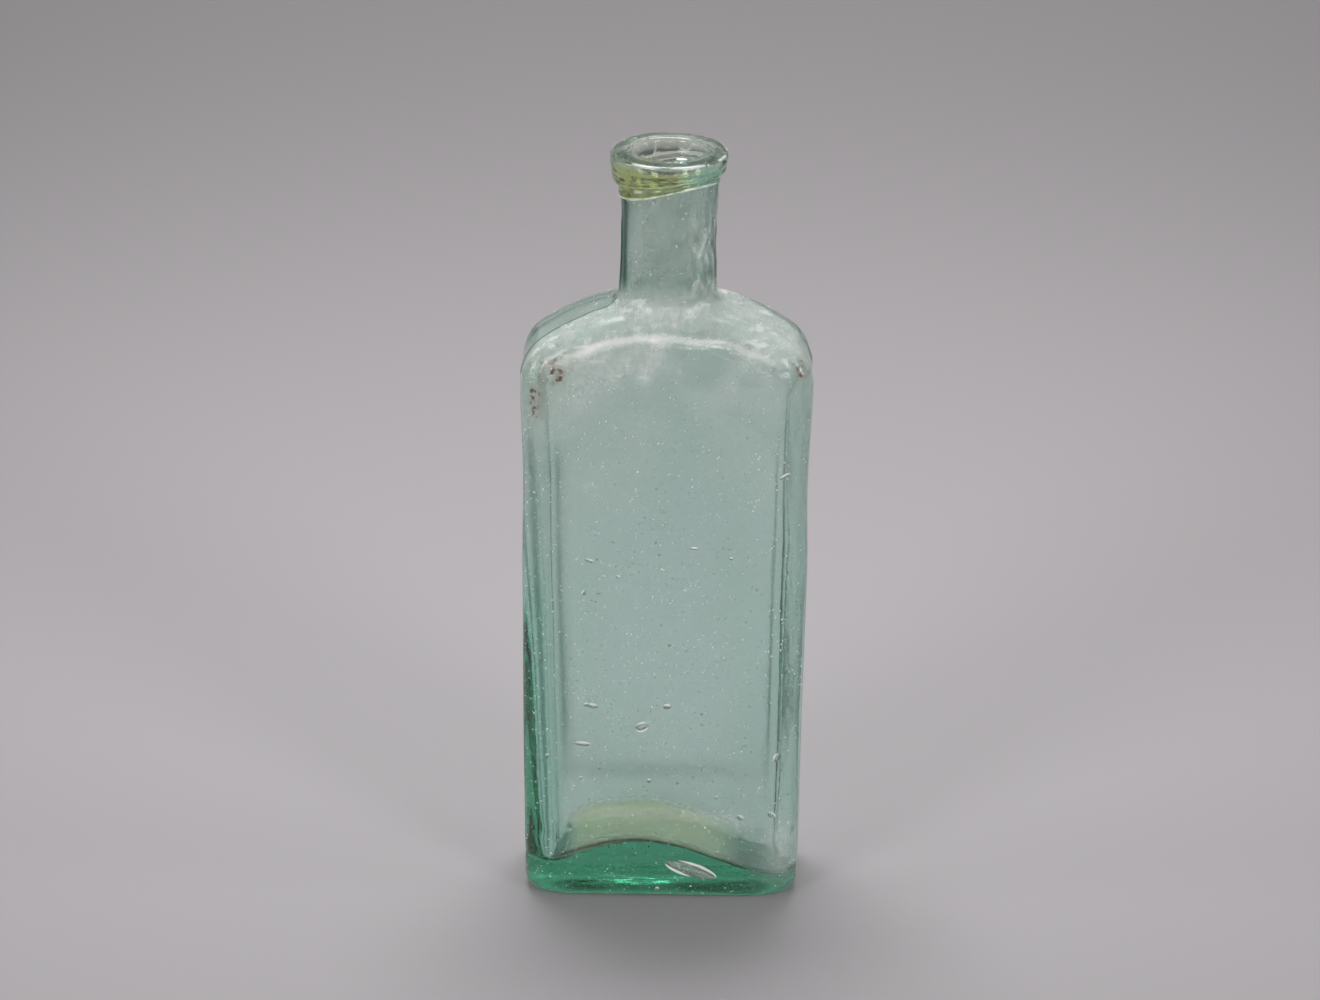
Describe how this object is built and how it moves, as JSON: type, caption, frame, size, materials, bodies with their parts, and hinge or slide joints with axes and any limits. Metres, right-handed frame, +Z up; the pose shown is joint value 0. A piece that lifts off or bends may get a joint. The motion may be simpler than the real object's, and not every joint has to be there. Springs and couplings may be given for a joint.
{
  "type": "glass bottle",
  "caption": "Flat rectangular medicine bottle of aqua glass with an arched shoulder, a short round neck and a separately applied lip for a cork.",
  "frame": {"origin": "on the plane that the bottle stands on, under the middle of the body", "axes": "+Z up along the neck's axis, X along the wide panels, -Y out of the front panel"},
  "size_m": [0.0604, 0.025, 0.167],
  "materials": {
    "aqua_glass": "pale aqua mouth-blown glass with seeds, hazed inside, deep green where it is thick",
    "olive_glass": "olive to aqua streaked glass, fire-polished and tooled"
  },
  "bodies": {
    "root": {"bottle_body": "aqua_glass", "applied_lip": "olive_glass"}
  },
  "joints": []
}
